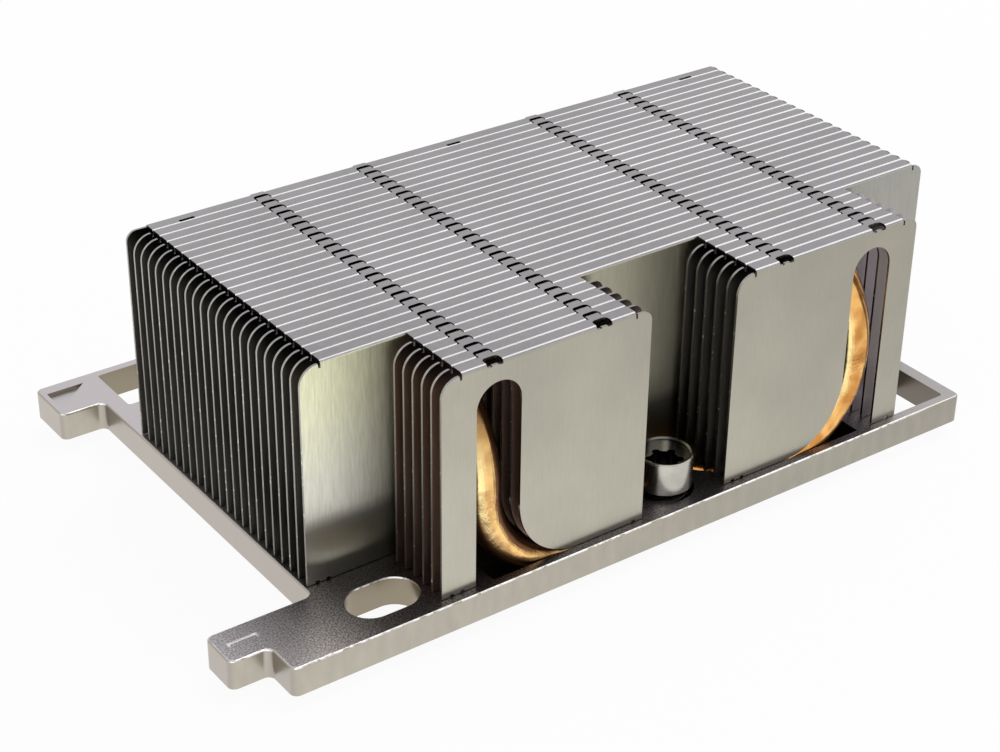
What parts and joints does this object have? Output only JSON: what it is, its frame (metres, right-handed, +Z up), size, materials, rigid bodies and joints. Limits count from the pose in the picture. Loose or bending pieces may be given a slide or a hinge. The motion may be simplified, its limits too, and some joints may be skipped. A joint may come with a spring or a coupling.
{
  "type": "passive server cpu heatsink",
  "caption": "Low passive processor heatsink: stacked interlocked sheet fins, flattened copper heat pipes bent up at the front, and a milled base with lugs, windows and captive screws.",
  "frame": {"origin": "centre of the copper contact face under the base, the face that presses on the processor", "axes": "+Z up, away from the processor, towards the folded fin tops; +X along the long fins, from the end with the two lugs to the plain end; +Y from the two short front fin blocks to the bare rear strip of the base"},
  "size_m": [0.1189, 0.0772, 0.038],
  "materials": {
    "fin_sheet": "thin rolled sheet, nickel-plated, fine vertical grain",
    "base_plate": "milled, nickel-plated, satin sides and a darker speckled top",
    "contact_plate": "flat ground copper",
    "pipe_copper": "bare copper tube, slightly hammered and oxidised in the bends",
    "screw_steel": "plated steel, satin turned head",
    "spring_steel": "plated spring wire",
    "ring_steel": "stamped spring steel"
  },
  "bodies": {
    "heatsink": {"base_plate": "base_plate", "contact_plate": "contact_plate", "left_heat_pipe": "pipe_copper", "right_heat_pipe": "pipe_copper", "main_fin_01": "fin_sheet", "main_fin_02": "fin_sheet", "main_fin_03": "fin_sheet", "main_fin_04": "fin_sheet", "main_fin_05": "fin_sheet", "main_fin_06": "fin_sheet", "main_fin_07": "fin_sheet", "main_fin_08": "fin_sheet", "main_fin_09": "fin_sheet", "main_fin_10": "fin_sheet", "main_fin_11": "fin_sheet", "main_fin_12": "fin_sheet", "main_fin_13": "fin_sheet", "main_fin_14": "fin_sheet", "main_fin_15": "fin_sheet", "main_fin_16": "fin_sheet", "main_fin_17": "fin_sheet", "main_fin_18": "fin_sheet", "main_fin_19": "fin_sheet", "main_fin_20": "fin_sheet", "main_fin_21": "fin_sheet", "main_fin_22": "fin_sheet", "main_fin_23": "fin_sheet", "left_front_fin_01": "fin_sheet", "left_front_fin_02": "fin_sheet", "left_front_fin_03": "fin_sheet", "left_front_fin_04": "fin_sheet", "left_front_fin_05": "fin_sheet", "left_front_fin_06": "fin_sheet", "right_front_fin_01": "fin_sheet", "right_front_fin_02": "fin_sheet", "right_front_fin_03": "fin_sheet", "right_front_fin_04": "fin_sheet", "right_front_fin_05": "fin_sheet", "right_front_fin_06": "fin_sheet", "front_screw_spring": "spring_steel", "rear_screw_spring": "spring_steel"},
    "front_ring": {"front_retaining_ring": "ring_steel"},
    "front_screw": {"front_captive_screw": "screw_steel"},
    "rear_ring": {"rear_retaining_ring": "ring_steel"},
    "rear_screw": {"rear_captive_screw": "screw_steel"}
  },
  "joints": [
    {"name": "front_screw_press", "type": "slide", "parent": "heatsink", "child": "front_ring", "axis": [0, 0, -1], "range_m": [0, 0.0012], "stiffness_N_per_m": 3000, "springref_m": -0.0006, "deforming": ["front_screw_spring"]},
    {"name": "front_screw_turn", "type": "hinge", "parent": "front_ring", "child": "front_screw", "pos_m": [0, -0.0325, 0.0025], "axis": [0, 0, 1], "continuous": true},
    {"name": "rear_screw_press", "type": "slide", "parent": "heatsink", "child": "rear_ring", "axis": [0, 0, -1], "range_m": [0, 0.0012], "stiffness_N_per_m": 3000, "springref_m": -0.0006, "deforming": ["rear_screw_spring"]},
    {"name": "rear_screw_turn", "type": "hinge", "parent": "rear_ring", "child": "rear_screw", "pos_m": [0, 0.0325, 0.0025], "axis": [0, 0, 1], "continuous": true}
  ]
}
